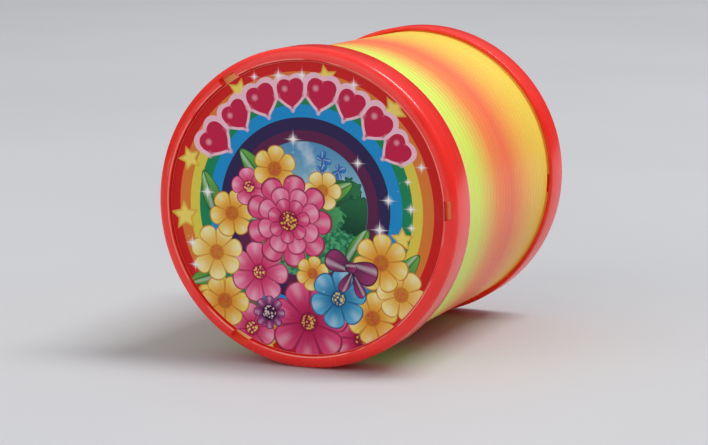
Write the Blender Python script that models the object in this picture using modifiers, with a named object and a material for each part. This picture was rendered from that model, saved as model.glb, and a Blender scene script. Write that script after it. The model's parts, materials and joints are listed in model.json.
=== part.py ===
"""Spring coil toy: one flat plastic strip wound as a coil, with a snap cap and a round label at each end.

The toy lies on its side on the rims of its caps. The coil's axis runs along Y at the height of
a cap's radius, and the front cap faces -Y. The free coil is cut at every half turn, at its
right and left sides in turn, and each half turn pivots there about a vertical axis on the
outer edge of the strip. The last turns at each end belong to the cap that holds them.
"""

import math

import bmesh
import bpy
from mathutils import Matrix

MM = 0.001

# Coil strip
STRIP_WIDTH = 5.0 * MM
STRIP_THICKNESS = 1.9 * MM
TURN_GAP = 0.35 * MM
FREE_TURNS = 27
TRAPPED_TURNS = 0.95

# Snap cap
CAP_RADIUS = 37.5 * MM
SKIRT_WALL = 1.0 * MM
PLATE_WALL = 1.4 * MM
RECESS_DEPTH = 1.7 * MM
RIM_WIDTH = 2.9 * MM
RIM_CORNER = 1.5 * MM

# Snap hooks inside the skirt, and the windows in the face above them
HOOK_COUNT = 3
FIRST_HOOK_ANGLE = math.radians(2.6)
HOOK_WIDTH = 4.0 * MM
HOOK_THICKNESS = 0.7 * MM
HOOK_REACH = 1.0 * MM
WINDOW_WIDTH = 4.4 * MM
WINDOW_INTO_RECESS = 0.2 * MM

# Round label
LABEL_THICKNESS = 0.4 * MM

# Space between neighbouring pieces
CLEARANCE = 0.3 * MM

# Facets of the round pieces
CAP_SIDES = 48
CORNER_STEPS = 3
STEPS_PER_TURN = 36

# Coil radii, from the cap that it fits in
SKIRT_INNER = CAP_RADIUS - SKIRT_WALL
COIL_RADIUS = SKIRT_INNER - CLEARANCE
COIL_BORE = COIL_RADIUS - STRIP_WIDTH
PITCH = STRIP_THICKNESS + TURN_GAP

# Depths below the face of a cap, following the strip from its blunt end to the first pivot
PLATE_BACK = RECESS_DEPTH + PLATE_WALL
BLUNT_END_DEPTH = PLATE_BACK + CLEARANCE + STRIP_THICKNESS / 2
TRAPPED_DEPTH = BLUNT_END_DEPTH + TRAPPED_TURNS * PITCH
HOOK_NEAR = TRAPPED_DEPTH + STRIP_THICKNESS / 2 + CLEARANCE
HOOK_FAR = HOOK_NEAR + HOOK_THICKNESS
PASSED_DEPTH = HOOK_FAR + CLEARANCE + STRIP_THICKNESS / 2

# The strip climbs past the hooks between two of them, clear of both
HOOK_SPACING = 2 * math.pi / HOOK_COUNT
HOOK_MARGIN = math.radians(8)
RAMP_SWEEP = HOOK_SPACING - 2 * HOOK_MARGIN
PASSED_SWEEP = (HOOK_COUNT - 1) * HOOK_SPACING + FIRST_HOOK_ANGLE + HOOK_MARGIN
PIVOT_DEPTH = PASSED_DEPTH + PASSED_SWEEP / (2 * math.pi) * PITCH
SKIRT_DEPTH = PIVOT_DEPTH - STRIP_THICKNESS / 2 - CLEARANCE

# Ends of two lengths of strip stand half a clearance either side of the level of the axis
END_ANGLE = math.asin(CLEARANCE / 2 / COIL_BORE)

LENGTH = 2 * PIVOT_DEPTH + FREE_TURNS * PITCH
AXIS_HEIGHT = CAP_RADIUS

RECESS_RADIUS = CAP_RADIUS - RIM_WIDTH
LABEL_RADIUS = RECESS_RADIUS - CLEARANCE
# Round pieces are measured across their flats, so their corners stand a little further out
FLAT_TO_CORNER = 1 / math.cos(math.pi / CAP_SIDES)

COLORS = {
    "cap": (0.87, 0.06, 0.035, 1.0),
    "label": (0.85, 0.22, 0.12, 1.0),
    "front": (0.62, 0.86, 0.05, 1.0),
    "middle": (0.95, 0.22, 0.10, 1.0),
    "rear": (0.98, 0.66, 0.06, 1.0),
}


def clear_scene():
    """Start from an empty file."""
    for item in list(bpy.data.objects):
        bpy.data.objects.remove(item, do_unlink=True)


def new_collection(name):
    """A collection linked to the scene."""
    collection = bpy.data.collections.new(name)
    bpy.context.scene.collection.children.link(collection)
    return collection


def plastic(name, color, roughness):
    """A moulded or printed plastic of one colour."""
    material = bpy.data.materials.new(name)
    material.use_nodes = True
    shader = material.node_tree.nodes["Principled BSDF"]
    shader.inputs["Base Color"].default_value = color
    shader.inputs["Roughness"].default_value = roughness
    shader.inputs["Metallic"].default_value = 0.0
    return material


def add_object(name, mesh, collection):
    """A named object for a mesh."""
    item = bpy.data.objects.new(name, mesh)
    collection.objects.link(item)
    return item


def make_cutter(item):
    """Hide a piece that only shapes others."""
    item.hide_render = True
    item.display_type = "WIRE"


def turned(name, outline, collection):
    """Turn an outline of (radius, height) points about Z, with flats facing X and Y."""
    half_side = math.pi / CAP_SIDES
    bm = bmesh.new()
    points = []
    for radius, height in outline:
        corner = radius * FLAT_TO_CORNER
        points.append(bm.verts.new((corner * math.cos(half_side), corner * math.sin(half_side), height)))
    for first, second in zip(points, points[1:]):
        bm.edges.new((first, second))
    mesh = bpy.data.meshes.new(name)
    bm.to_mesh(mesh)
    bm.free()
    item = add_object(name, mesh, collection)
    screw = item.modifiers.new("Turn", "SCREW")
    screw.axis = "Z"
    screw.angle = 2 * math.pi
    screw.steps = CAP_SIDES
    screw.render_steps = CAP_SIDES
    screw.use_merge_vertices = True
    screw.merge_threshold = 0.00001
    screw.use_smooth_shade = True
    return item


def boxes_at_hooks(name, low, high, width, collection):
    """One box at each hook angle; low and high are (radius, height) corners."""
    bm = bmesh.new()
    size = Matrix.Diagonal((high[0] - low[0], width, high[1] - low[1], 1))
    place = Matrix.Translation(((low[0] + high[0]) / 2, 0, (low[1] + high[1]) / 2))
    for index in range(HOOK_COUNT):
        turn = Matrix.Rotation(FIRST_HOOK_ANGLE + index * HOOK_SPACING, 4, "Z")
        bmesh.ops.create_cube(bm, size=1, matrix=turn @ place @ size)
    mesh = bpy.data.meshes.new(name)
    bm.to_mesh(mesh)
    bm.free()
    item = add_object(name, mesh, collection)
    make_cutter(item)
    return item


def combine(item, other, operation):
    """Cut or join one piece with another."""
    boolean = item.modifiers.new(other.name, "BOOLEAN")
    boolean.object = other
    boolean.operation = operation
    boolean.solver = "EXACT"


def cap_outline():
    """Half the section of a cap, from the middle of its face, over the rim, to the middle of its back."""
    outline = [(0, -RECESS_DEPTH), (RECESS_RADIUS, -RECESS_DEPTH), (RECESS_RADIUS, 0)]
    for step in range(CORNER_STEPS + 1):
        angle = math.pi / 2 * (1 - step / CORNER_STEPS)
        radius = CAP_RADIUS - RIM_CORNER + RIM_CORNER * math.cos(angle)
        outline.append((radius, RIM_CORNER * (math.sin(angle) - 1)))
    outline += [(CAP_RADIUS, -SKIRT_DEPTH), (SKIRT_INNER, -SKIRT_DEPTH), (SKIRT_INNER, -PLATE_BACK), (0, -PLATE_BACK)]
    return outline


def add_cap(name, parent, material, parts, cutters):
    """A cap, facing its local +Z: a plate with a recess, a rim, a skirt, three hooks and their windows."""
    cap = turned(name, cap_outline(), parts)
    cap.data.materials.append(material)
    window_low = (RECESS_RADIUS - WINDOW_INTO_RECESS, -PLATE_BACK - CLEARANCE)
    window_high = (SKIRT_INNER - CLEARANCE, CLEARANCE)
    windows = boxes_at_hooks(name + "_windows", window_low, window_high, WINDOW_WIDTH, cutters)
    hook_low = (COIL_RADIUS - HOOK_REACH, -HOOK_FAR)
    hook_high = (SKIRT_INNER + SKIRT_WALL / 2, -HOOK_NEAR)
    hooks = boxes_at_hooks(name + "_hooks", hook_low, hook_high, HOOK_WIDTH, cutters)
    combine(cap, windows, "DIFFERENCE")
    combine(cap, hooks, "UNION")
    for item in (cap, windows, hooks):
        item.parent = parent


def add_label(name, parent, material, parts):
    """A round printed disc that lies in the recess of its cap."""
    back = -RECESS_DEPTH + CLEARANCE
    face = back + LABEL_THICKNESS
    label = turned(name, [(0, face), (LABEL_RADIUS, face), (LABEL_RADIUS, back), (0, back)], parts)
    label.data.materials.append(material)
    label.parent = parent
    return label


def strip_mesh(name, start_angle, start_depth, runs):
    """Sweep the strip's section clockwise about the Y axis, as seen from the front.

    runs are (sweep, rise) pairs, one for each stretch of even pitch. The mesh's Y is the depth.
    """
    bm = bmesh.new()
    middle = (COIL_BORE + COIL_RADIUS) / 2
    section = Matrix.Diagonal((STRIP_WIDTH, STRIP_THICKNESS, 1, 1))
    place = Matrix.Rotation(start_angle, 4, "Y") @ Matrix.Translation((middle, start_depth, 0))
    bmesh.ops.create_grid(bm, x_segments=1, y_segments=1, size=0.5, matrix=place @ section)
    front = bm.verts[:] + bm.edges[:] + bm.faces[:]
    for sweep, rise in runs:
        steps = math.ceil(sweep / (2 * math.pi) * STEPS_PER_TURN)
        spun = bmesh.ops.spin(
            bm,
            geom=front,
            cent=(0, 0, 0),
            axis=(0, 1, 0),
            dvec=(0, rise / steps, 0),
            angle=sweep,
            steps=steps,
            use_duplicate=False,
        )
        front = spun["geom_last"]
    bmesh.ops.recalc_face_normals(bm, faces=bm.faces[:])
    mesh = bpy.data.meshes.new(name)
    bm.to_mesh(mesh)
    bm.free()
    mesh.shade_smooth()
    mesh.set_sharp_from_angle(angle=math.radians(40))
    return mesh


def end_turns_mesh():
    """The turns held by a cap: one trapped above the hooks, a climb between two hooks, then the way out."""
    ramp_start = -PASSED_SWEEP - RAMP_SWEEP
    trapped_sweep = TRAPPED_TURNS * 2 * math.pi
    out_sweep = PASSED_SWEEP - END_ANGLE
    runs = [
        (trapped_sweep, TRAPPED_DEPTH - BLUNT_END_DEPTH),
        (RAMP_SWEEP, PASSED_DEPTH - TRAPPED_DEPTH),
        (out_sweep, out_sweep / (2 * math.pi) * PITCH),
    ]
    mesh = strip_mesh("end_turns", ramp_start - trapped_sweep, BLUNT_END_DEPTH, runs)
    # In a cap's frame the depth runs down -Z, and up stays up
    mesh.transform(Matrix.Rotation(-math.pi / 2, 4, "X"))
    return mesh


def half_turn_mesh():
    """Half a turn, with its origin on the outer edge of the strip at the pivot that it hangs from."""
    sweep = math.pi - 2 * END_ANGLE
    start_depth = END_ANGLE / (2 * math.pi) * PITCH
    mesh = strip_mesh("half_turn", END_ANGLE, start_depth, [(sweep, sweep / (2 * math.pi) * PITCH)])
    mesh.transform(Matrix.Translation((-COIL_RADIUS, 0, 0)))
    return mesh


def add_end(side, parts, cutters, cap_plastic, print_plastic, strip_plastic, end_mesh):
    """One end of the toy: a cap, its label and the turns it holds. side is -1 in front and 1 behind."""
    word = "front" if side < 0 else "rear"
    frame = bpy.data.objects.new(word + "_end", None)
    parts.objects.link(frame)
    frame.location = (0, side * LENGTH / 2, AXIS_HEIGHT)
    frame.rotation_euler = (-side * math.pi / 2, 0, 0)
    add_cap(word + "_cap", frame, cap_plastic, parts, cutters)
    add_label(word + "_label", frame, print_plastic, parts)
    turns = add_object("coil_" + word + "_turns", end_mesh.copy(), parts)
    turns.data.materials.append(strip_plastic)
    turns.parent = frame


def strip_color(share):
    """The strip's colour at a share of its way from the front to the rear."""
    if share < 0.5:
        first, second, blend = COLORS["front"], COLORS["middle"], share * 2
    else:
        first, second, blend = COLORS["middle"], COLORS["rear"], share * 2 - 1
    return tuple(a + (b - a) * blend for a, b in zip(first, second))


def add_half_turns(parts):
    """The free coil: half turns that pivot at the right and the left side in turn."""
    shape = half_turn_mesh()
    count = 2 * FREE_TURNS
    for index in range(count):
        item = add_object(f"coil_half_{index + 1:02d}", shape.copy(), parts)
        from_right = index % 2 == 0
        depth = PIVOT_DEPTH + index * PITCH / 2
        item.location = (COIL_RADIUS if from_right else -COIL_RADIUS, depth - LENGTH / 2, AXIS_HEIGHT)
        item.rotation_euler = (0, 0 if from_right else math.pi, 0)
        color = strip_color(index / (count - 1))
        item.data.materials.append(plastic(item.name, color, 0.35))
    bpy.data.meshes.remove(shape)


def build():
    """Build the whole toy."""
    clear_scene()
    parts = new_collection("spring_coil_toy")
    cutters = new_collection("cutters")
    cap_plastic = plastic("cap_plastic", COLORS["cap"], 0.3)
    print_plastic = plastic("label_print", COLORS["label"], 0.3)
    end_mesh = end_turns_mesh()
    for side, color in ((-1, COLORS["front"]), (1, COLORS["rear"])):
        strip_plastic = plastic("end_turns", color, 0.35)
        add_end(side, parts, cutters, cap_plastic, print_plastic, strip_plastic, end_mesh)
    bpy.data.meshes.remove(end_mesh)
    add_half_turns(parts)


build()
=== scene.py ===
import json
import math

import bmesh
import bpy
from mathutils import Matrix, Vector


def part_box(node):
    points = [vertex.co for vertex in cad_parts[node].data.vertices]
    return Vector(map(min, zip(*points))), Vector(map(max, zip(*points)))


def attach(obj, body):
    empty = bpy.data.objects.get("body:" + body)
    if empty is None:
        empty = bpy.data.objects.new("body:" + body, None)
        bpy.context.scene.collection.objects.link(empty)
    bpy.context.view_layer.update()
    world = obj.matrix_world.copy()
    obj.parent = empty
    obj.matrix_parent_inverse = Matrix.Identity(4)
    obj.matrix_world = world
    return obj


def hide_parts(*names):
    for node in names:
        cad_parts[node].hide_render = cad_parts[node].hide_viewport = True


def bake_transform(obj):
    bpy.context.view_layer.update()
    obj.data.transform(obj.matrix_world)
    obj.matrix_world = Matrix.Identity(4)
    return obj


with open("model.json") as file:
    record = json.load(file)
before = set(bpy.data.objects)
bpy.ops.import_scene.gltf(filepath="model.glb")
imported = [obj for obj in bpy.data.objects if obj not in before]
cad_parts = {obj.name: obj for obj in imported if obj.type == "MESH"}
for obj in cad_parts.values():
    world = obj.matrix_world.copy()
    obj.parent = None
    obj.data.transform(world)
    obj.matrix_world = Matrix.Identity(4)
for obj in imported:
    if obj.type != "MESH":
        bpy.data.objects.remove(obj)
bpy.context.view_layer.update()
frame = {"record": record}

# ---------------------------------------------------------------------------
# Front and rear caps
# The same injection moulding twice, in gloss fluorescent red plastic: a plate with a recess for the
# label, a rim that rolls over into a thin skirt round the first turns of the coil, and three snap hooks
# inside the skirt. The mould reached each hook through a small window in the rim.

MM = 0.001
front_low, front_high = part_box("front_cap")
rear_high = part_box("rear_cap")[1]
AXIS_HEIGHT = (front_low.z + front_high.z) / 2
CAP_RADIUS = (front_high.x - front_low.x) / 2
SKIRT_DEPTH = front_high.y - front_low.y
SKIRT_WALL = 1.0 * MM
SKIRT_INNER = CAP_RADIUS - SKIRT_WALL
SKIRT_ROUNDING = 0.3 * MM
RIM_WIDTH = 2.9 * MM
RECESS_RADIUS = CAP_RADIUS - RIM_WIDTH
RECESS_ROUNDING = 0.25 * MM
RECESS_DEPTH = 1.7 * MM
PLATE_BACK = 3.1 * MM
RIM_ROLL_WIDTH = 2.6 * MM
RIM_ROLL_DEPTH = 1.8 * MM
WINDOW_INNER = RECESS_RADIUS - 0.2 * MM
WINDOW_OUTER = CAP_RADIUS - RIM_ROLL_WIDTH / 2
WINDOWS = 3
FIRST_WINDOW = math.radians(2.6)
WINDOW_APART = math.radians(360 / WINDOWS)
HOOK_NEAR = 7.7375 * MM
HOOK_FAR = 8.4375 * MM
HOOK_REACH = 1.0 * MM
CAP_COLUMNS = 150
WINDOW_COLUMNS = 3
HALF_WINDOW = WINDOW_COLUMNS * math.pi / CAP_COLUMNS
EDGE_SEGMENTS = 3
# The rim rolls over in twelve steps, so that the fourth, at 30 degrees, is a window's outer edge
ROLL_SEGMENTS = 12
WINDOW_STEP = 4
# The recess's floor, its wall and the flat land give one edge each across a window
PLAIN_EDGES = 3
SHARP_ANGLE = math.radians(35)


def finished_mesh(name, bm):
    """Turn the faces outwards, smooth all but the sharp edges, and make a mesh."""
    bmesh.ops.recalc_face_normals(bm, faces=bm.faces[:])
    for face in bm.faces:
        face.smooth = True
    for edge in bm.edges:
        edge.smooth = edge.calc_face_angle(0) < SHARP_ANGLE
    mesh = bpy.data.meshes.new(name)
    bm.to_mesh(mesh)
    bm.free()
    return mesh


def add_piece(name, mesh, material):
    """Put a mesh in the scene under its own name, with its material."""
    piece = bpy.data.objects.new(name, mesh)
    bpy.context.scene.collection.objects.link(piece)
    mesh.materials.append(material)
    return piece


def cap_outline(bm):
    """Half of the cap's section as a row of edges: X is the radius and Y the depth from the rim."""
    corners = [
        (0, RECESS_DEPTH, 0),
        (WINDOW_INNER, RECESS_DEPTH, 0),
        (RECESS_RADIUS, RECESS_DEPTH, 0),
        (RECESS_RADIUS, 0, RECESS_ROUNDING),
    ]
    for step in range(ROLL_SEGMENTS + 1):
        angle = math.pi / 2 * step / ROLL_SEGMENTS
        radius = CAP_RADIUS - RIM_ROLL_WIDTH * (1 - math.sin(angle))
        corners.append((radius, RIM_ROLL_DEPTH * (1 - math.cos(angle)), 0))
    corners += [
        (CAP_RADIUS, SKIRT_DEPTH, SKIRT_ROUNDING),
        (SKIRT_INNER, SKIRT_DEPTH, SKIRT_ROUNDING),
        (SKIRT_INNER, HOOK_FAR, 0),
        (SKIRT_INNER, HOOK_NEAR, 0),
        (SKIRT_INNER, PLATE_BACK, 0),
    ]
    # As many rings across each window at the back of the plate as at the front
    rings = PLAIN_EDGES + EDGE_SEGMENTS + WINDOW_STEP
    for ring in range(rings + 1):
        radius = WINDOW_OUTER + (WINDOW_INNER - WINDOW_OUTER) * ring / rings
        corners.append((radius, PLATE_BACK, 0))
    corners.append((0, PLATE_BACK, 0))
    verts = [bm.verts.new((radius, depth, 0)) for radius, depth, rounding in corners]
    for start, end in zip(verts, verts[1:]):
        bm.edges.new((start, end))
    for vert, (radius, depth, rounding) in zip(verts, corners):
        if rounding:
            bmesh.ops.bevel(
                bm,
                geom=[vert],
                offset=rounding,
                segments=EDGE_SEGMENTS,
                profile=0.5,
                affect="VERTICES",
                material=-1,
            )


def at_window(point):
    """Whether a point of the cap lies within the angle that a window and its hook take up."""
    angle = math.atan2(point.z, point.x) - FIRST_WINDOW
    off_centre = (angle + WINDOW_APART / 2) % WINDOW_APART - WINDOW_APART / 2
    return abs(off_centre) < HALF_WINDOW


def cap_mesh():
    """Spin the outline into a cap with its rim at depth 0, open the windows and push out the hooks."""
    bm = bmesh.new()
    cap_outline(bm)
    first_edge = FIRST_WINDOW - HALF_WINDOW
    bmesh.ops.rotate(bm, verts=bm.verts[:], matrix=Matrix.Rotation(-first_edge, 3, "Y"))
    bmesh.ops.spin(
        bm,
        geom=bm.verts[:] + bm.edges[:],
        cent=(0, 0, 0),
        axis=(0, -1, 0),
        angle=2 * math.pi,
        steps=CAP_COLUMNS,
        use_merge=True,
    )
    bmesh.ops.remove_doubles(bm, verts=bm.verts[:], dist=0.002 * MM)
    covers = []
    hooks = []
    for face in bm.faces:
        centre = face.calc_center_median()
        radius = math.hypot(centre.x, centre.z)
        if not at_window(centre):
            continue
        if WINDOW_INNER < radius < WINDOW_OUTER and centre.y < PLATE_BACK + 0.1 * MM:
            covers.append(face)
        if abs(radius - SKIRT_INNER) < 0.05 * MM and HOOK_NEAR < centre.y < HOOK_FAR:
            hooks.append(face)
    bmesh.ops.delete(bm, geom=covers, context="FACES")
    for number in range(WINDOWS):
        turn = Matrix.Rotation(FIRST_WINDOW + number * WINDOW_APART, 3, "Y")
        rims = []
        for edge in bm.edges:
            middle = turn @ ((edge.verts[0].co + edge.verts[1].co) / 2)
            if edge.is_boundary and middle.x > 0 and abs(middle.z) < 4 * MM:
                rims.append(edge)
        bmesh.ops.bridge_loops(bm, edges=rims)
    pushed = bmesh.ops.extrude_face_region(bm, geom=hooks)
    tips = [item for item in pushed["geom"] if isinstance(item, bmesh.types.BMVert)]
    bmesh.ops.delete(bm, geom=hooks, context="FACES_ONLY")
    share = 1 - HOOK_REACH / SKIRT_INNER
    bmesh.ops.scale(bm, verts=tips, vec=(share, 1, share))
    return finished_mesh("cap", bm)


def node(tree, kind, values=None, **settings):
    """Add a shader node, with its settings, and with a value or another node's output on each socket."""
    made = tree.nodes.new("ShaderNode" + kind)
    for name, setting in settings.items():
        setattr(made, name, setting)
    for socket, value in (values or {}).items():
        if isinstance(value, bpy.types.NodeSocket):
            tree.links.new(value, made.inputs[socket])
        else:
            made.inputs[socket].default_value = value
    return made


def sums(tree, operation, *values):
    """One Math node's result."""
    return node(tree, "Math", dict(enumerate(values)), operation=operation).outputs[0]


def between(tree, value, low, high, out_low=0.0, out_high=1.0):
    """A value spread smoothly over a range, and held at its ends."""
    chosen = {"Value": value, "From Min": low, "From Max": high, "To Min": out_low, "To Max": out_high}
    return node(tree, "MapRange", chosen, interpolation_type="SMOOTHSTEP").outputs[0]


def mixed(tree, share, under, over, blend_type="MIX"):
    """Two colours mixed by a share."""
    made = node(tree, "Mix", {0: share, 6: under, 7: over}, data_type="RGBA", blend_type=blend_type)
    return made.outputs[2]


def rgb(red, green, blue):
    """A printer's 0 to 255 colour as the shader's linear one."""
    steps = [channel / 255 for channel in (red, green, blue)]
    linear = [step / 12.92 if step <= 0.04045 else ((step + 0.055) / 1.055) ** 2.4 for step in steps]
    return (*linear, 1.0)


def new_group(name, inputs, outputs):
    """Start a node group with named inputs and outputs. Gives the group and its input node."""
    group = bpy.data.node_groups.new(name, "ShaderNodeTree")
    for title, kind, default in inputs:
        socket = group.interface.new_socket(name=title, in_out="INPUT", socket_type="NodeSocket" + kind)
        if default is not None:
            socket.default_value = default
    for title, kind in outputs:
        group.interface.new_socket(name=title, in_out="OUTPUT", socket_type="NodeSocket" + kind)
    return group, group.nodes.new("NodeGroupInput")


def close_group(group, **results):
    """Link a group's results to its output sockets."""
    end = group.nodes.new("NodeGroupOutput")
    for title, result in results.items():
        group.links.new(result, end.inputs[title.replace("_", " ")])


def placed(tree, group, **values):
    """A group node in a material, with its inputs set."""
    made = tree.nodes.new("ShaderNodeGroup")
    made.node_tree = group
    for title, value in values.items():
        socket = made.inputs[title.replace("_", " ")]
        if isinstance(value, bpy.types.NodeSocket):
            tree.links.new(value, socket)
        else:
            socket.default_value = value
    return made


def new_material(name, **values):
    """A material with one Principled shader. Gives the material, its tree and the shader."""
    material = bpy.data.materials.new(name)
    material.use_nodes = True
    shader = material.node_tree.nodes["Principled BSDF"]
    for title, value in values.items():
        shader.inputs[title.replace("_", " ")].default_value = value
    return material, material.node_tree, shader


def moulded_surface_group():
    """Fine orange peel and slow ripples that a polished mould leaves in plastic, as a height."""
    inputs = [("Place", "Vector", None), ("Peel", "Float", 900.0), ("Ripple", "Float", 60.0)]
    group, given = new_group("moulded_surface", inputs, [("Height", "Float"), ("Cloud", "Float")])
    place = given.outputs["Place"]
    peel = node(group, "TexNoise", {"Vector": place, "Scale": given.outputs["Peel"], "Detail": 2.0})
    ripple = node(group, "TexNoise", {"Vector": place, "Scale": given.outputs["Ripple"], "Detail": 3.0})
    fine = sums(group, "MULTIPLY", peel.outputs[0], 0.25)
    close_group(group, Height=sums(group, "ADD", fine, ripple.outputs[0]), Cloud=ripple.outputs[0])
    return group


def handling_marks_group():
    """Hairline scratches from handling and a little dust, each as a mask."""
    masks = [("Scratches", "Float"), ("Dust", "Float")]
    group, given = new_group("handling_marks", [("Place", "Vector", None)], masks)
    place = given.outputs["Place"]
    hairs = []
    for turn, stretch in ((0.5, 30.0), (2.1, 42.0), (1.2, 24.0)):
        spin = (turn, turn * 0.7, turn * 1.3)
        mapping = {"Vector": place, "Rotation": spin, "Scale": (1, stretch, 1)}
        turned = node(group, "Mapping", mapping).outputs[0]
        noise = node(group, "TexNoise", {"Vector": turned, "Scale": 70.0, "Detail": 2.0})
        hairs.append(between(group, noise.outputs[0], 0.70, 0.76))
    scratches = sums(group, "MAXIMUM", hairs[0], sums(group, "MAXIMUM", hairs[1], hairs[2]))
    specks = node(group, "TexVoronoi", {"Vector": place, "Scale": 420.0})
    chance = node(group, "TexNoise", {"Vector": place, "Scale": 160.0})
    near = between(group, specks.outputs["Distance"], 0.16, 0.06)
    dust = sums(group, "MULTIPLY", near, between(group, chance.outputs[0], 0.60, 0.66))
    close_group(group, Scratches=scratches, Dust=dust)
    return group


moulded_surface = moulded_surface_group()
handling_marks = handling_marks_group()


def cap_plastic():
    """Gloss fluorescent red with a little painted glow from within and a painted highlight along the
    recess's edge, with a mould's peel, scratches and dust.
    """
    material, tree, shader = new_material(
        "cap_red_plastic",
        Roughness=0.23,
        IOR=1.5,
        Specular_IOR_Level=0.55,
        Emission_Strength=0.07,
    )
    place = node(tree, "TexCoord").outputs["Object"]
    mould = placed(tree, moulded_surface, Place=place, Peel=1400.0, Ripple=90.0)
    marks = placed(tree, handling_marks, Place=place)
    flow = between(tree, mould.outputs["Cloud"], 0.35, 0.65)
    base = mixed(tree, flow, rgb(240, 34, 26), rgb(246, 42, 32))
    centred = node(tree, "VectorMath", {0: place, 1: (0, 0, AXIS_HEIGHT)}, operation="SUBTRACT")
    flat = node(tree, "VectorMath", {0: centred.outputs[0], 1: (1, 0, 1)}, operation="MULTIPLY")
    out = node(tree, "VectorMath", {0: flat.outputs[0]}, operation="LENGTH").outputs["Value"]
    # Painted highlight: a patchy pale line on the face along the recess's edge, for the light that edge
    # catches; it is in the painted glow too
    past_lip = sums(tree, "ABSOLUTE", sums(tree, "SUBTRACT", out, RECESS_RADIUS + 0.1 * MM))
    patchy = node(tree, "TexNoise", {"Vector": place, "Scale": 110.0, "Detail": 2.0}).outputs[0]
    end_on = sums(tree, "ABSOLUTE", node(tree, "SeparateXYZ", {0: place}).outputs["Y"])
    at_face = between(tree, end_on, rear_high.y - 0.35 * MM, rear_high.y - 0.2 * MM)
    lip_highlight_zone = sums(tree, "MULTIPLY", between(tree, past_lip, 0.2 * MM, 0.1 * MM), at_face)
    painted_lip_highlight = sums(tree, "MULTIPLY", lip_highlight_zone, between(tree, patchy, 0.36, 0.5))
    base = mixed(tree, sums(tree, "MULTIPLY", painted_lip_highlight, 0.5), base, rgb(255, 190, 170))
    rubbed = mixed(tree, sums(tree, "MULTIPLY", marks.outputs["Scratches"], 0.10), base, rgb(250, 150, 130))
    dusty = mixed(tree, sums(tree, "MULTIPLY", marks.outputs["Dust"], 0.35), rubbed, rgb(225, 205, 200))
    tree.links.new(dusty, shader.inputs["Base Color"])
    # Painted glow: the plastic emits its own red, painted highlight included
    tree.links.new(base, shader.inputs["Emission Color"])
    rough = between(tree, mould.outputs["Cloud"], 0.3, 0.7, 0.2, 0.28)
    worn = sums(tree, "ADD", rough, sums(tree, "MULTIPLY", marks.outputs["Scratches"], 0.18))
    tree.links.new(worn, shader.inputs["Roughness"])
    bump = node(tree, "Bump", {"Height": mould.outputs["Height"], "Strength": 0.05, "Distance": 0.0003})
    tree.links.new(bump.outputs[0], shader.inputs["Normal"])
    return material


red_plastic = cap_plastic()
front_place = Matrix.Translation((0, front_low.y, AXIS_HEIGHT))
rear_place = Matrix.Translation((0, rear_high.y, AXIS_HEIGHT)) @ Matrix.Rotation(math.pi, 4, "X")
for end, place in (("front", front_place), ("rear", rear_place)):
    mesh = cap_mesh()
    mesh.transform(place)
    cap = add_piece(f"{end}_cap_moulding", mesh, red_plastic)
    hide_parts(f"{end}_cap")
    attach(cap, f"{end}_end")

# ---------------------------------------------------------------------------
# Front and rear labels
# A round card printed in colour under a satin film, lying in each cap's recess. The print is a rainbow
# round a small garden, with hearts, stars and a bunch of flowers in front of it.

label_low, label_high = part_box("front_label")
LABEL_RADIUS = (label_high.x - label_low.x) / 2
LABEL_TOP = label_low.y - front_low.y
LABEL_THICKNESS = label_high.y - label_low.y
PRINT_RADIUS_MM = LABEL_RADIUS / MM
# The print is made in square plates, so that each plate's ink holds only the shapes that reach it
PLATE_CUTS = (-17.0, 0.0, 17.0)


def plate_of(x, y):
    """The number of the plate that a point of the print, in mm, lies on."""
    column = sum(x > cut for cut in PLATE_CUTS)
    row = sum(y > cut for cut in PLATE_CUTS)
    return row * (len(PLATE_CUTS) + 1) + column


def label_mesh():
    """A thin round card with a soft cut edge, facing -Y, mapped so that the print fits its face."""
    bm = bmesh.new()
    upright = Matrix.Translation((0, LABEL_TOP, 0)) @ Matrix.Rotation(math.pi / 2, 4, "X")
    bmesh.ops.create_circle(bm, cap_ends=True, segments=180, radius=LABEL_RADIUS, matrix=upright)
    bmesh.ops.inset_region(bm, faces=bm.faces[:], thickness=0.12 * MM)
    back = bmesh.ops.extrude_face_region(bm, geom=bm.faces[:])
    moved = [item for item in back["geom"] if isinstance(item, bmesh.types.BMVert)]
    bmesh.ops.translate(bm, verts=moved, vec=(0, LABEL_THICKNESS, 0))
    rim = []
    for edge in bm.edges:
        radii = [math.hypot(vert.co.x, vert.co.z) for vert in edge.verts]
        on_face = all(vert.co.y < LABEL_TOP + 0.01 * MM for vert in edge.verts)
        if on_face and min(radii) > LABEL_RADIUS - 0.01 * MM:
            rim.append(edge)
    bmesh.ops.bevel(
        bm, geom=rim, offset=0.1 * MM, segments=2, profile=0.5, affect="EDGES", material=-1
    )
    for cut in PLATE_CUTS:
        for across, normal in (((cut * MM, 0, 0), (1, 0, 0)), ((0, 0, cut * MM), (0, 0, 1))):
            parts = bm.verts[:] + bm.edges[:] + bm.faces[:]
            bmesh.ops.bisect_plane(bm, geom=parts, plane_co=across, plane_no=normal)
    print_map = bm.loops.layers.uv.new("print")
    for face in bm.faces:
        middle = face.calc_center_median()
        face.material_index = plate_of(middle.x / MM, middle.z / MM)
        for loop in face.loops:
            across = loop.vert.co.x / (2 * LABEL_RADIUS)
            up = loop.vert.co.z / (2 * LABEL_RADIUS)
            loop[print_map].uv = (0.5 + across, 0.5 + up)
    return finished_mesh("label", bm)


def seen_from(tree, place, centre):
    """A point of the print as seen from a centre: across, up and distance."""
    off = node(tree, "VectorMath", {0: place, 1: centre}, operation="SUBTRACT")
    apart = node(tree, "SeparateXYZ", {0: off.outputs[0]})
    distance = node(tree, "VectorMath", {0: off.outputs[0]}, operation="LENGTH").outputs["Value"]
    return apart.outputs["X"], apart.outputs["Y"], distance


def bearing(tree, across, up, turn):
    """The angle of a point round a shape's centre, less the shape's own turn."""
    return sums(tree, "SUBTRACT", sums(tree, "ARCTAN2", up, across), turn)


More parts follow.
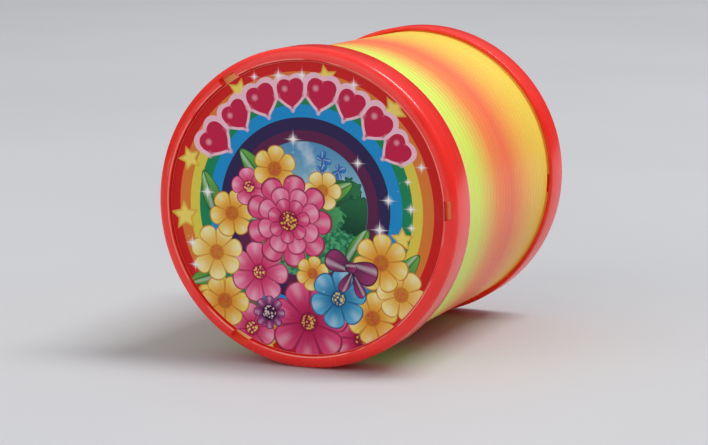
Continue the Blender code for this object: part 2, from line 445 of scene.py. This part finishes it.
def along_shape(group, side):
    """A point of the print as a turned shape sees it: from its centre, along its own axis."""
    off = node(group, "VectorMath", {0: side["Place"], 1: side["Centre"]}, operation="SUBTRACT")
    back = sums(group, "MULTIPLY", side["Turn"], -1.0)
    turned = {"Vector": off.outputs[0], "Angle": back}
    return node(group, "VectorRotate", turned, rotation_type="Z_AXIS").outputs[0]


PAINTED = [("Color", "Color")]
SHAPE = [("Under", "Color", None), ("Place", "Vector", None), ("Centre", "Vector", None)]
SHAPE += [("Size", "Float", 1.0), ("Turn", "Float", 0.0)]


# Across and along parts of the line square to an edge of the star, from a point to the next notch
STAR_ASIDE = 0.8967
STAR_ALONG = 0.4426


def star_group():
    """A plump five-pointed star with a darker edge and a light middle."""
    inputs = SHAPE + [("Body", "Color", None), ("Edge", "Color", None)]
    group, given = new_group("printed_star", inputs, PAINTED)
    side = given.outputs
    across, up, distance = seen_from(group, side["Place"], side["Centre"])
    angle = bearing(group, across, up, side["Turn"])
    fold = sums(group, "PINGPONG", angle, math.pi / 5)
    reach = sums(group, "DIVIDE", distance, side["Size"])
    along = sums(group, "MULTIPLY", reach, sums(group, "COSINE", fold))
    aside = sums(group, "MULTIPLY", reach, sums(group, "SINE", fold))
    slope = sums(group, "MULTIPLY_ADD", aside, STAR_ASIDE, sums(group, "MULTIPLY", along, STAR_ALONG))
    past = sums(group, "SUBTRACT", slope, STAR_ALONG)
    inside = between(group, past, 0.02, -0.02)
    shade = between(group, past, -0.20, -0.02)
    body = mixed(group, shade, side["Body"], side["Edge"])
    close_group(group, Color=mixed(group, inside, side["Under"], body))
    return group


def heart_group():
    """A heart with a broad pale outline, a gradient down it and a soft light on one lobe."""
    inputs = SHAPE + [("Body", "Color", None), ("Outline", "Color", None)]
    group, given = new_group("printed_heart", inputs, PAINTED)
    side = given.outputs
    small = node(group, "VectorMath", {0: along_shape(group, side)}, operation="SCALE")
    group.links.new(sums(group, "DIVIDE", 1.0, side["Size"]), small.inputs["Scale"])
    color = side["Under"]
    for scale, rise, paint in ((0.78, -0.03, side["Outline"]), (1.0, 0.0, side["Body"])):
        lifted = node(group, "VectorMath", {0: small.outputs[0], 1: (0, rise, 0)}, operation="ADD")
        sized = node(group, "VectorMath", {0: lifted.outputs[0], "Scale": scale}, operation="SCALE")
        apart = node(group, "SeparateXYZ", {0: sized.outputs[0]})
        xx = sums(group, "MULTIPLY", apart.outputs["X"], apart.outputs["X"])
        yy = sums(group, "MULTIPLY", apart.outputs["Y"], apart.outputs["Y"])
        ring = sums(group, "SUBTRACT", sums(group, "ADD", xx, yy), 1.0)
        cube = sums(group, "MULTIPLY", ring, sums(group, "MULTIPLY", ring, ring))
        lobe = sums(group, "MULTIPLY", xx, sums(group, "MULTIPLY", yy, apart.outputs["Y"]))
        level = sums(group, "SUBTRACT", cube, lobe)
        color = mixed(group, between(group, level, 0.03, -0.01), color, paint)
    glint = seen_from(group, small.outputs[0], (-0.48, 0.5, 0))[2]
    color = mixed(group, between(group, glint, 0.34, 0.05, 0.0, 0.55), color, side["Outline"])
    close_group(group, Color=color)
    return group


def sparkle_group():
    """A four-pointed twinkle of light with a soft glow round it."""
    group, given = new_group("printed_sparkle", SHAPE, PAINTED)
    side = given.outputs
    x, y, distance = seen_from(group, side["Place"], side["Centre"])
    across = sums(group, "POWER", sums(group, "DIVIDE", sums(group, "ABSOLUTE", x), side["Size"]), 0.42)
    up = sums(group, "POWER", sums(group, "DIVIDE", sums(group, "ABSOLUTE", y), side["Size"]), 0.42)
    ray = between(group, sums(group, "ADD", across, up), 1.0, 0.55)
    glow = between(group, sums(group, "DIVIDE", distance, side["Size"]), 0.4, 0.0, 0.0, 0.6)
    light = sums(group, "MAXIMUM", ray, glow)
    close_group(group, Color=mixed(group, light, side["Under"], rgb(255, 250, 252)))
    return group


def flower_group():
    """A round of overlapping petals with a gradient along each, veins, dark seams and a beaded eye."""
    inputs = SHAPE + [("Petals", "Float", 6.0), ("Root", "Color", None), ("Tip", "Color", None)]
    inputs += [("Line", "Color", None), ("Eye", "Color", None), ("Eye size", "Float", 0.26)]
    group, given = new_group("printed_flower", inputs, PAINTED)
    side = given.outputs
    across, up, distance = seen_from(group, side["Place"], side["Centre"])
    angle = bearing(group, across, up, side["Turn"])
    reach = sums(group, "DIVIDE", distance, side["Size"])
    half = sums(group, "DIVIDE", math.pi, side["Petals"])
    share = sums(group, "DIVIDE", sums(group, "PINGPONG", angle, half), half)
    dip = sums(group, "SQRT", sums(group, "SUBTRACT", 1.0, sums(group, "POWER", share, 2.4)))
    bound = sums(group, "MULTIPLY_ADD", dip, 0.34, 0.66)
    past = sums(group, "SUBTRACT", reach, bound)
    inside = between(group, past, 0.012, -0.012)
    color = mixed(group, between(group, reach, 0.15, 0.95), side["Root"], side["Tip"])
    veins = sums(group, "SINE", sums(group, "MULTIPLY", share, 15.0))
    fading = between(group, reach, 0.95, 0.3, 0.0, 0.3)
    fine = sums(group, "MULTIPLY", between(group, veins, 0.2, 1.0), fading)
    color = mixed(group, fine, color, side["Root"])
    light = sums(group, "MULTIPLY", between(group, share, 0.5, 0.0), between(group, reach, 0.45, 0.8))
    color = mixed(group, sums(group, "MULTIPLY", light, 0.28), color, rgb(255, 255, 255))
    seam = sums(group, "MULTIPLY", between(group, share, 0.78, 1.0), 0.75)
    rim = between(group, past, -0.075, -0.015)
    color = mixed(group, sums(group, "MAXIMUM", seam, rim), color, side["Line"])
    eye = sums(group, "SUBTRACT", reach, side["Eye size"])
    beads = node(group, "TexVoronoi", {"Vector": side["Place"], "Scale": 1.6})
    grain = mixed(group, between(group, beads.outputs["Distance"], 0.25, 0.6), side["Eye"], side["Line"])
    color = mixed(group, between(group, eye, 0.09, 0.02), color, side["Line"])
    color = mixed(group, between(group, eye, 0.01, -0.02), color, grain)
    close_group(group, Color=mixed(group, inside, side["Under"], color))
    return group


def oval_group():
    """A leaf, wing or ribbon loop: a tapered oval with a gradient along it, a rib and a dark edge."""
    inputs = SHAPE + [("Width", "Float", 0.5), ("Taper", "Float", 0.0), ("Rib", "Float", 0.0)]
    inputs += [("Sheen", "Float", 0.35)]
    inputs += [("Root", "Color", None), ("Tip", "Color", None), ("Line", "Color", None)]
    group, given = new_group("printed_oval", inputs, PAINTED)
    side = given.outputs
    apart = node(group, "SeparateXYZ", {0: along_shape(group, side)})
    along = sums(group, "DIVIDE", apart.outputs["X"], side["Size"])
    width = sums(group, "MULTIPLY", side["Width"], sums(group, "MULTIPLY_ADD", along, side["Taper"], 1.0))
    aside = sums(group, "DIVIDE", apart.outputs["Y"], sums(group, "MAXIMUM", width, 0.02))
    square = sums(group, "MULTIPLY_ADD", along, along, sums(group, "MULTIPLY", aside, aside))
    share = sums(group, "MULTIPLY_ADD", along, 0.5, 0.5)
    color = mixed(group, share, side["Root"], side["Tip"])
    sheen = between(group, sums(group, "ABSOLUTE", sums(group, "SUBTRACT", aside, 0.35)), 0.35, 0.0)
    color = mixed(group, sums(group, "MULTIPLY", sheen, side["Sheen"]), color, rgb(255, 255, 255))
    rib = sums(group, "MULTIPLY", between(group, sums(group, "ABSOLUTE", aside), 0.12, 0.02), side["Rib"])
    edge = between(group, square, 0.72, 0.98)
    color = mixed(group, sums(group, "MAXIMUM", rib, edge), color, side["Line"])
    close_group(group, Color=mixed(group, between(group, square, 1.03, 0.98), side["Under"], color))
    return group


star = star_group()
heart = heart_group()
sparkle = sparkle_group()
flower = flower_group()
oval = oval_group()

# Rainbow bands from the garden outwards: the radius in mm where each begins, and its ink
BANDS = [
    (0.0, (70, 130, 160)),
    (15.7, (96, 32, 76)),
    (18.3, (48, 36, 84)),
    (21.3, (22, 148, 214)),
    (24.2, (20, 140, 92)),
    (26.7, (232, 214, 78)),
    (29.2, (232, 130, 54)),
    (31.8, (216, 30, 30)),
]
# Root, tip and line inks
GREEN_LEAF = ((40, 120, 60), (120, 190, 80), (16, 84, 50))
RIBBON = ((70, 20, 60), (170, 60, 120), (48, 12, 44))
WING = ((30, 90, 170), (60, 140, 210), (20, 60, 130))
# Across, up, length, width, turn in degrees, taper, rib and inks
BUSHES = [
    (9.5, 4.0, 4.6, 3.6, 20, 0.0, 0.0, ((16, 70, 52), (50, 130, 80), (20, 90, 66))),
    (13.0, -1.0, 4.6, 5.0, 80, 0.0, 0.0, ((10, 62, 46), (40, 116, 72), (16, 82, 60))),
    (6.5, -1.5, 3.6, 3.0, 10, 0.0, 0.0, ((24, 110, 70), (90, 180, 110), (28, 120, 80))),
    (3.5, 3.5, 2.2, 1.8, 0, 0.0, 0.0, ((40, 120, 96), (110, 180, 150), (50, 130, 110))),
]
# Across, up and turn in degrees
BUTTERFLIES = [(4.6, 11.6, 35), (8.3, 9.2, -30), (4.2, 8.8, 10)]
BUTTERFLY_SPREAD = 2.0
BUSH_SWAY = 3.0
# Across, up, length, width, turn in degrees, taper, rib and inks
LEAVES = [
    (-13.0, 9.5, 5.0, 2.2, 130, -0.3, 0.8, GREEN_LEAF),
    (-24.0, 3.0, 5.2, 2.2, 110, -0.4, 0.8, GREEN_LEAF),
    (8.5, 4.5, 4.2, 1.9, 30, -0.4, 0.8, GREEN_LEAF),
    (13.5, -8.0, 4.8, 2.1, 60, -0.3, 0.8, GREEN_LEAF),
    (25.5, -12.5, 4.6, 2.1, 50, -0.4, 0.8, GREEN_LEAF),
    (-25.5, -17.5, 4.6, 2.0, 200, -0.4, 0.8, GREEN_LEAF),
    (-11.5, -12.5, 5.0, 2.4, 220, -0.3, 0.8, GREEN_LEAF),
]
# Root, tip, line and eye inks
PINK = ((190, 20, 84), (240, 84, 140), (150, 14, 66), (250, 206, 90))
ROSE = ((214, 44, 104), (250, 130, 172), (172, 20, 80), (255, 222, 120))
YELLOW = ((236, 150, 40), (252, 224, 110), (206, 120, 34), (214, 70, 60))
CREAM = ((240, 176, 60), (254, 238, 150), (212, 134, 40), (226, 92, 70))
BLUE = ((30, 120, 170), (96, 186, 226), (22, 86, 140), (246, 216, 110))
VIOLET = ((84, 24, 76), (176, 70, 140), (56, 14, 56), (250, 214, 220))
# Across, up, size, turn in degrees, petals, eye size as a share of the flower, and inks
FLOWERS = [
    (14.0, -29.5, 6.5, 30, 6, 0.22, PINK),
    (-13.5, -29.0, 6.2, 40, 6, 0.24, ROSE),
    (1.0, -26.5, 10.0, 10, 7, 0.18, PINK),
    (-20.5, -23.0, 6.4, 0, 6, 0.24, YELLOW),
    (17.0, -24.5, 6.4, 20, 6, 0.24, YELLOW),
    (24.0, -18.5, 6.2, 50, 6, 0.24, CREAM),
    (-11.5, -15.5, 7.4, 50, 7, 0.2, ROSE),
    (-22.5, -11.5, 6.8, 15, 7, 0.22, CREAM),
    (19.0, -11.5, 7.0, 35, 7, 0.22, YELLOW),
    (-18.5, -2.0, 5.8, 70, 6, 0.24, YELLOW),
    (-14.0, 4.5, 4.6, 30, 5, 0.28, ROSE),
    (4.5, 4.5, 4.8, 0, 6, 0.26, CREAM),
    (-7.5, 9.0, 5.6, 25, 6, 0.26, YELLOW),
    (-4.0, -3.0, 11.0, 0, 9, 0.0, PINK),
    (-4.0, -3.0, 8.2, 20, 8, 0.0, ROSE),
    (-4.0, -3.0, 5.4, 8, 7, 0.4, PINK),
    (2.0, -15.0, 4.2, 20, 6, 0.26, YELLOW),
    (8.5, -20.5, 7.2, 18, 6, 0.22, BLUE),
    (-9.0, -25.0, 4.0, 0, 8, 0.42, VIOLET),
]
# Across, up, length, width, turn in degrees, taper, rib and inks
BOW = [
    (8.6, -12.0, 3.6, 2.4, 155, 0.5, 0.3, RIBBON),
    (14.6, -13.8, 3.8, 2.6, -20, 0.5, 0.3, RIBBON),
    (10.4, -16.4, 2.8, 1.2, 240, 0.5, 0.2, RIBBON),
    (13.4, -17.4, 2.8, 1.2, -65, 0.5, 0.2, RIBBON),
    (11.6, -13.0, 1.5, 1.3, 0, 0.0, 0.0, RIBBON),
]
# Across, up, size and turn in degrees
STARS = [
    (5.3, 30.7, 3.1, 10),
    (22.1, 23.8, 3.5, 30),
    (-16.3, 26.8, 3.2, -10),
    (-29.3, 10.4, 3.2, 20),
    (-30.7, -3.2, 3.8, 5),
    (-24.8, -19.8, 3.5, 40),
    (24.2, -5.7, 3.0, 0),
    (-9.3, -32.2, 2.5, 0),
]
# Across, up and size
SPARKLES = [
    (-2.8, 16.1, 3.9),
    (13.3, 11.3, 3.3),
    (-24.8, 2.7, 3.9),
    (20.8, 3.1, 3.6),
    (18.7, -3.8, 4.2),
    (26.3, 1.4, 3.3),
    (26.4, -2.9, 2.7),
    (28.8, 11.1, 3.0),
    (25.5, 7.6, 2.4),
    (12.3, 29.2, 3.3),
    (-6.4, 30.7, 3.6),
    (-0.5, 31.0, 3.3),
    (-12.5, 30.2, 2.7),
    (-28.9, -9.6, 3.3),
    (-28.1, -14.8, 3.0),
]
HEART_ARC_RADIUS = 26.6
HEART_SPREAD = 1.8
# Angle on the arc in degrees, and size
HEARTS = [(146, 3.3), (129, 3.0), (113, 3.2), (97, 3.0), (81, 3.2), (65, 3.0), (49, 3.2), (33, 2.9)]


def reaches(plate, x, y, size):
    """Whether a shape of that size round a point comes onto a plate."""
    edges = (-99.0, *PLATE_CUTS, 99.0)
    row, column = divmod(plate, len(PLATE_CUTS) + 1)
    past_x = max(edges[column] - x, 0, x - edges[column + 1])
    past_y = max(edges[row] - y, 0, y - edges[row + 1])
    return math.hypot(past_x, past_y) <= size


def rainbow_bands(tree, distance):
    """The rainbow's bands by the distance from the middle of the print."""
    ramp = node(tree, "ValToRGB", {0: sums(tree, "DIVIDE", distance, PRINT_RADIUS_MM)})
    ramp.color_ramp.interpolation = "CONSTANT"
    stops = ramp.color_ramp.elements
    for number, (radius, ink) in enumerate(BANDS):
        stop = stops[number] if number < 2 else stops.new(radius / PRINT_RADIUS_MM)
        stop.position = radius / PRINT_RADIUS_MM
        stop.color = rgb(*ink)
    return ramp.outputs["Color"]


def paint_oval(tree, under, place, x, y, size, width, turn, taper, rib, inks, sheen=0.35):
    """One oval on the print, with its inks."""
    made = placed(tree, oval, Under=under, Place=place, Centre=(x, y, 0), Size=size, Width=width)
    made.inputs["Turn"].default_value = math.radians(turn)
    made.inputs["Taper"].default_value = taper
    made.inputs["Rib"].default_value = rib
    made.inputs["Sheen"].default_value = sheen
    for title, ink in zip(("Root", "Tip", "Line"), inks):
        made.inputs[title].default_value = rgb(*ink)
    return made.outputs[0]


def garden(tree, place, plate):
    """Sky with haze, bushes with ragged leaves, grass, and three small butterflies."""
    up = node(tree, "SeparateXYZ", {0: place}).outputs["Y"]
    haze = node(tree, "TexNoise", {"Vector": place, "Scale": 0.12, "Detail": 4.0}).outputs[0]
    sky = mixed(tree, between(tree, up, 2.0, 15.0), rgb(150, 200, 214), rgb(88, 152, 196))
    sky = mixed(tree, between(tree, haze, 0.48, 0.62, 0.0, 0.7), sky, rgb(206, 226, 238))
    ragged = node(tree, "TexNoise", {"Vector": place, "Scale": 0.9, "Detail": 6.0})
    sway = node(tree, "VectorMath", {0: ragged.outputs["Color"], 1: (0.5, 0.5, 0.5)}, operation="SUBTRACT")
    shaken = node(tree, "VectorMath", {0: sway.outputs[0], "Scale": 4.0}, operation="SCALE")
    leafy = node(tree, "VectorMath", {0: place, 1: shaken.outputs[0]}, operation="ADD").outputs[0]
    grass = mixed(tree, between(tree, ragged.outputs[0], 0.4, 0.6), rgb(30, 120, 84), rgb(84, 176, 118))
    ground = sums(tree, "MULTIPLY_ADD", haze, 4.0, -4.5)
    picture = mixed(tree, between(tree, sums(tree, "SUBTRACT", up, ground), 0.6, -0.6), sky, grass)
    for bush in BUSHES:
        if reaches(plate, bush[0], bush[1], bush[2] + BUSH_SWAY):
            picture = paint_oval(tree, picture, leafy, *bush, sheen=0.0)
    for x, y, turn in BUTTERFLIES:
        for lean, wing, out in ((48, 1.2, 1.0), (-48, 1.2, 1.0), (115, 0.9, 0.8), (-115, 0.9, 0.8)):
            angle = math.radians(turn + lean)
            wing_x = x + out * math.cos(angle)
            wing_y = y + out * math.sin(angle)
            if reaches(plate, x, y, BUTTERFLY_SPREAD):
                shape = (wing, 0.6 * wing, turn + lean, 0.4, 0.0, WING)
                picture = paint_oval(tree, picture, place, wing_x, wing_y, *shape)
    return picture


def printed_plate(plate):
    """One plate of the print, painted from the back to the front, under a satin film."""
    material, tree, shader = new_material(
        f"printed_card_{plate + 1:02d}",
        Roughness=0.45,
        IOR=1.45,
        Specular_IOR_Level=0.2,
    )
    print_map = node(tree, "UVMap", uv_map="print").outputs[0]
    wide = 2 * PRINT_RADIUS_MM
    sizes = {"Vector": print_map, "Location": (-wide / 2, -wide / 2, 0), "Scale": (wide, wide, 1)}
    place = node(tree, "Mapping", sizes).outputs[0]
    distance = node(tree, "VectorMath", {0: place}, operation="LENGTH").outputs["Value"]
    picture = rainbow_bands(tree, distance)
    if reaches(plate, 0, 0, BANDS[1][0]):
        glade = between(tree, distance, BANDS[1][0] + 0.06, BANDS[1][0] - 0.06)
        picture = mixed(tree, glade, picture, garden(tree, place, plate))
    for x, y, size, turn in STARS:
        if not reaches(plate, x, y, size):
            continue
        made = placed(tree, star, Under=picture, Place=place, Centre=(x, y, 0), Size=size)
        made.inputs["Turn"].default_value = math.radians(turn + 90)
        made.inputs["Body"].default_value = rgb(250, 226, 110)
        made.inputs["Edge"].default_value = rgb(226, 176, 60)
        picture = made.outputs[0]
    for leaf in LEAVES:
        if reaches(plate, leaf[0], leaf[1], leaf[2]):
            picture = paint_oval(tree, picture, place, *leaf)
    for x, y, size, turn, petals, eye_size, inks in FLOWERS:
        if not reaches(plate, x, y, size):
            continue
        made = placed(tree, flower, Under=picture, Place=place, Centre=(x, y, 0), Size=size)
        made.inputs["Turn"].default_value = math.radians(turn)
        made.inputs["Petals"].default_value = petals
        made.inputs["Eye size"].default_value = eye_size
        for title, ink in zip(("Root", "Tip", "Line", "Eye"), inks):
            made.inputs[title].default_value = rgb(*ink)
        picture = made.outputs[0]
    for loop in BOW:
        if reaches(plate, loop[0], loop[1], loop[2]):
            picture = paint_oval(tree, picture, place, *loop)
    for angle, size in HEARTS:
        lean = math.radians(angle)
        x = HEART_ARC_RADIUS * math.cos(lean)
        y = HEART_ARC_RADIUS * math.sin(lean)
        if not reaches(plate, x, y, HEART_SPREAD * size):
            continue
        made = placed(tree, heart, Under=picture, Place=place, Centre=(x, y, 0), Size=size)
        made.inputs["Turn"].default_value = lean - math.pi / 2
        made.inputs["Body"].default_value = rgb(204, 28, 74)
        made.inputs["Outline"].default_value = rgb(250, 200, 216)
        picture = made.outputs[0]
    for x, y, size in SPARKLES:
        if reaches(plate, x, y, size):
            made = placed(tree, sparkle, Under=picture, Place=place, Centre=(x, y, 0), Size=size)
            picture = made.outputs[0]

    # A pale ring at the cut edge is the bare card, painted lighter as a highlight where the edge catches
    # the light, and the ink lies a little unevenly
    cut = between(tree, distance, PRINT_RADIUS_MM - 0.13, PRINT_RADIUS_MM - 0.07)
    picture = mixed(tree, cut, picture, rgb(248, 170, 150))
    card = node(tree, "TexNoise", {"Vector": place, "Scale": 6.0, "Detail": 3.0}).outputs[0]
    uneven = between(tree, card, 0.3, 0.7, 0.0, 0.16)
    picture = mixed(tree, uneven, picture, rgb(150, 130, 130), blend_type="MULTIPLY")
    marks = placed(tree, handling_marks, Place=node(tree, "TexCoord").outputs["Object"])
    picture = mixed(tree, sums(tree, "MULTIPLY", marks.outputs["Dust"], 0.3), picture, rgb(240, 236, 232))
    tree.links.new(picture, shader.inputs["Base Color"])
    wear = sums(tree, "MULTIPLY_ADD", marks.outputs["Scratches"], 0.1, 0.45)
    tree.links.new(wear, shader.inputs["Roughness"])
    wave = node(tree, "TexNoise", {"Vector": place, "Scale": 0.15, "Detail": 2.0}).outputs[0]
    film = sums(tree, "MULTIPLY_ADD", card, 0.04, wave)
    bump = node(tree, "Bump", {"Height": film, "Strength": 0.25, "Distance": 0.0004})
    tree.links.new(bump.outputs[0], shader.inputs["Normal"])
    return material


print_plates = [printed_plate(plate) for plate in range((len(PLATE_CUTS) + 1) ** 2)]
label_turns = {"front": front_place, "rear": rear_place @ Matrix.Rotation(math.pi, 4, "Y")}
for end, place in label_turns.items():
    mesh = label_mesh()
    mesh.transform(place)
    label = add_piece(f"{end}_printed_label", mesh, print_plates[0])
    for plate in print_plates[1:]:
        mesh.materials.append(plate)
    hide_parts(f"{end}_label")
    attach(label, f"{end}_end")

# ---------------------------------------------------------------------------
# Coil
# One flat strip of soft translucent plastic wound edge on, dyed so that its colour changes along it. It is
# built one half turn at a time, each at one of its pivots.

pivots = sorted(frame["record"]["behaviour"]["joints"], key=lambda joint: joint["pos_m"][1])
COIL_RADIUS = abs(pivots[0]["pos_m"][0])
STRIP_WIDTH = 5.0 * MM
COIL_BORE = COIL_RADIUS - STRIP_WIDTH
PITCH = pivots[2]["pos_m"][1] - pivots[0]["pos_m"][1]
STRIP_THICKNESS = PITCH - 0.05 * MM
STRIP_ROUNDING = 0.16 * MM
HALF_TURN_STEPS = 48
# The bands of colour lie a little aslant: lower down, each is further back, by this share of its distance
COLOUR_SLANT = 0.16
# The free coil takes the middle of the strip's map, so that the end turns lie inside it too
MAP_START = 0.1
MAP_SPAN = 0.8
coil_start = pivots[0]["pos_m"][1] - front_low.y
free_length = pivots[-1]["pos_m"][1] - pivots[0]["pos_m"][1]
TRAPPED_DEPTH = 6.4875 * MM
PASSED_DEPTH = 9.6875 * MM
BLUNT_END_DEPTH = 4.35 * MM
TRAPPED_SWEEP = math.radians(342)
RAMP_SWEEP = math.radians(104)


def strip_mesh(name, start_angle, start_depth, runs, place):
    """Spin the strip's section round the coil's axis. runs are (sweep, rise) for each even stretch."""
    bm = bmesh.new()
    section = Matrix.Diagonal((STRIP_WIDTH, STRIP_THICKNESS, 1, 1))
    middle = Matrix.Translation(((COIL_BORE + COIL_RADIUS) / 2, start_depth, 0))
    upright = Matrix.Rotation(start_angle, 4, "Y") @ middle
    bmesh.ops.create_grid(bm, x_segments=1, y_segments=1, size=0.5, matrix=upright @ section)
    bmesh.ops.bevel(
        bm,
        geom=bm.verts[:],
        offset=STRIP_ROUNDING,
        segments=3,
        profile=0.5,
        affect="VERTICES",
        material=-1,
    )
    end = bm.verts[:] + bm.edges[:] + bm.faces[:]
    for sweep, rise in runs:
        steps = math.ceil(sweep / math.pi * HALF_TURN_STEPS)
        spun = bmesh.ops.spin(
            bm,
            geom=end,
            cent=(0, 0, 0),
            axis=(0, 1, 0),
            dvec=(0, rise / steps, 0),
            angle=sweep,
            steps=steps,
            use_duplicate=False,
        )
        end = spun["geom_last"]
    bmesh.ops.transform(bm, verts=bm.verts[:], matrix=place)
    along_map = bm.loops.layers.uv.new("along_strip")
    for face in bm.faces:
        for loop in face.loops:
            point = loop.vert.co
            share = (point.y - pivots[0]["pos_m"][1]) / free_length
            share *= 1 + COLOUR_SLANT * ((point.z - AXIS_HEIGHT) / COIL_RADIUS - 0.5)
            radius = math.hypot(point.x, point.z - AXIS_HEIGHT)
            loop[along_map].uv = (MAP_START + MAP_SPAN * share, (radius - COIL_BORE) / STRIP_WIDTH)
    return finished_mesh(name, bm)


# Share of the free coil, and the dye there; the pale cream at the first stop is a painted highlight for the
# lit edge of the turns at the front cap's mouth
DYES = [
    (0.04, (250, 232, 150)),
    (0.05, (222, 243, 106)),
    (0.13, (226, 240, 104)),
    (0.35, (252, 142, 80)),
    (0.50, (253, 119, 82)),
    (0.65, (252, 170, 84)),
    (0.75, (251, 195, 84)),
    (0.92, (246, 214, 84)),
]


def strip_plastic(name, glow):
    """Soft glossy plastic with a painted glow in its dye's colour, with fine streaks along the strip."""
    material, tree, shader = new_material(
        name,
        Roughness=0.35,
        IOR=1.5,
        Specular_IOR_Level=0.3,
        Emission_Strength=glow,
    )
    along = node(tree, "UVMap", uv_map="along_strip").outputs[0]
    apart = node(tree, "SeparateXYZ", {0: along})
    share = sums(tree, "MULTIPLY_ADD", apart.outputs["X"], 1 / MAP_SPAN, -MAP_START / MAP_SPAN)
    turning = sums(tree, "MULTIPLY", share, 40.0)
    streak = node(tree, "TexNoise", {"W": turning, "Detail": 3.0}, noise_dimensions="1D")
    drift = between(tree, streak.outputs[0], 0.25, 0.75, -0.018, 0.018)
    first, last = DYES[0][0], DYES[-1][0]
    scaled = node(tree, "MapRange", {"Value": sums(tree, "ADD", share, drift), 1: first, 2: last})
    ramp = node(tree, "ValToRGB", {0: scaled.outputs[0]})
    for number, (stop_share, ink) in enumerate(DYES):
        stops = ramp.color_ramp.elements
        position = (stop_share - first) / (last - first)
        stop = stops[number] if number < 2 else stops.new(position)
        stop.position = position
        stop.color = rgb(*ink)
    tree.links.new(ramp.outputs[0], shader.inputs["Base Color"])
    # Painted glow: the strip emits its own colour
    tree.links.new(ramp.outputs[0], shader.inputs["Emission Color"])
    mould = placed(tree, moulded_surface, Place=along, Peel=260.0, Ripple=30.0)
    rough = between(tree, mould.outputs["Cloud"], 0.3, 0.7, 0.3, 0.42)
    tree.links.new(rough, shader.inputs["Roughness"])
    bump = node(tree, "Bump", {"Height": mould.outputs["Height"], "Strength": 0.04, "Distance": 0.0002})
    tree.links.new(bump.outputs[0], shader.inputs["Normal"])
    return material


# The turns inside the caps get a stronger painted glow: it stands for the light that comes in at the
# windows
strip_finish = strip_plastic("coil_strip_plastic", 0.03)
painted_glow_finish = strip_plastic("coil_plastic_painted_glow_in_cap", 0.15)
quarter = math.pi / 2
for number, pivot in enumerate(pivots):
    depth = pivot["pos_m"][1] - front_low.y - PITCH / 4
    start_angle = -quarter + number * math.pi
    mesh = strip_mesh("coil_arc", start_angle, depth, [(math.pi, PITCH / 2)], front_place)
    arc = add_piece(f"coil_arc_{number + 1:02d}", mesh, strip_finish)
    if number < len(pivots) - 1:
        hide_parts(pivot["child"])
    if number % 2:
        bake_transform(arc)
    else:
        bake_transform(arc)
passed_angle = (coil_start - PASSED_DEPTH) / PITCH * 2 * math.pi
out_sweep = passed_angle - quarter
end_runs = [
    (TRAPPED_SWEEP, TRAPPED_DEPTH - BLUNT_END_DEPTH),
    (RAMP_SWEEP, PASSED_DEPTH - TRAPPED_DEPTH),
    (out_sweep, out_sweep / (2 * math.pi) * PITCH),
]
end_start = -passed_angle - RAMP_SWEEP - TRAPPED_SWEEP
for end, place in (("front", front_place), ("rear", rear_place)):
    mesh = strip_mesh("coil_end_turns", end_start, BLUNT_END_DEPTH, end_runs, place)
    turns = add_piece(f"coil_{end}_end_turns", mesh, painted_glow_finish)
    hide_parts(f"coil_{end}_turns")
    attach(turns, f"{end}_end")

# ---------------------------------------------------------------------------
# Studio
# A plain pale table, a long soft light overhead that draws the gleam on the rim, a broad soft fill in
# front, a room that is lighter towards the ceiling, and the camera in front, to the right and above.


def table_top():
    """A pale matt board with the faintest mottling."""
    material, tree, shader = new_material("pale_board", Roughness=0.6)
    place = node(tree, "TexCoord").outputs["Object"]
    cloud = node(tree, "TexNoise", {"Vector": place, "Scale": 3.0, "Detail": 4.0}).outputs[0]
    board = mixed(tree, between(tree, cloud, 0.3, 0.7), rgb(195, 196, 199), rgb(200, 201, 204))
    tree.links.new(board, shader.inputs["Base Color"])
    return material


TABLE_RADIUS = 9.0
bm = bmesh.new()
bmesh.ops.create_circle(bm, cap_ends=True, segments=96, radius=TABLE_RADIUS)
board_mesh = finished_mesh("table", bm)
table = bpy.data.objects.new("table", board_mesh)
board_mesh.materials.append(table_top())
bpy.context.scene.collection.objects.link(table)


def soft_light(name, size_x, size_y, power, direction, distance):
    """A rectangular soft box aimed at the toy's middle."""
    light = bpy.data.lights.new(name, "AREA")
    light.shape = "RECTANGLE"
    light.size = size_x
    light.size_y = size_y
    light.energy = power
    lamp = bpy.data.objects.new(name, light)
    toward = Vector(direction).normalized()
    lamp.location = Vector((0, 0, AXIS_HEIGHT)) + toward * distance
    lamp.rotation_euler = toward.to_track_quat("Z", "Y").to_euler()
    bpy.context.scene.collection.objects.link(lamp)


soft_light("key_softbox", 0.80, 1.70, 82, (0.43, 0.12, 0.90), 3.4)
soft_light("front_fill", 4.5, 4.5, 72, (-0.30, -0.90, 0.42), 5.0)
world = bpy.data.worlds.new("studio")
world.use_nodes = True
backdrop = world.node_tree.nodes["Background"]
skyward = node(world.node_tree, "SeparateXYZ", {0: node(world.node_tree, "TexCoord").outputs["Generated"]})
rise = between(world.node_tree, skyward.outputs["Z"], 0.1, 0.95)
room = mixed(world.node_tree, rise, (0.06, 0.061, 0.064, 1), (0.66, 0.665, 0.68, 1))
world.node_tree.links.new(room, backdrop.inputs["Color"])
bpy.context.scene.world = world
bpy.context.scene.view_settings.view_transform = "Standard"

camera_data = bpy.data.cameras.new("camera")
camera_data.sensor_width = 36
camera_data.lens = 113.71
camera = bpy.data.objects.new("camera", camera_data)
camera.location = (0.20308, -0.50958, 0.1150)
camera.rotation_mode = "QUATERNION"
camera.rotation_quaternion = Vector((-0.3721, 0.915, -0.1559)).to_track_quat("-Z", "Y")
bpy.context.scene.collection.objects.link(camera)
bpy.context.scene.camera = camera

# ---------------------------------------------------------------------------
# Finish: bring the scene up to date

bpy.context.view_layer.update()
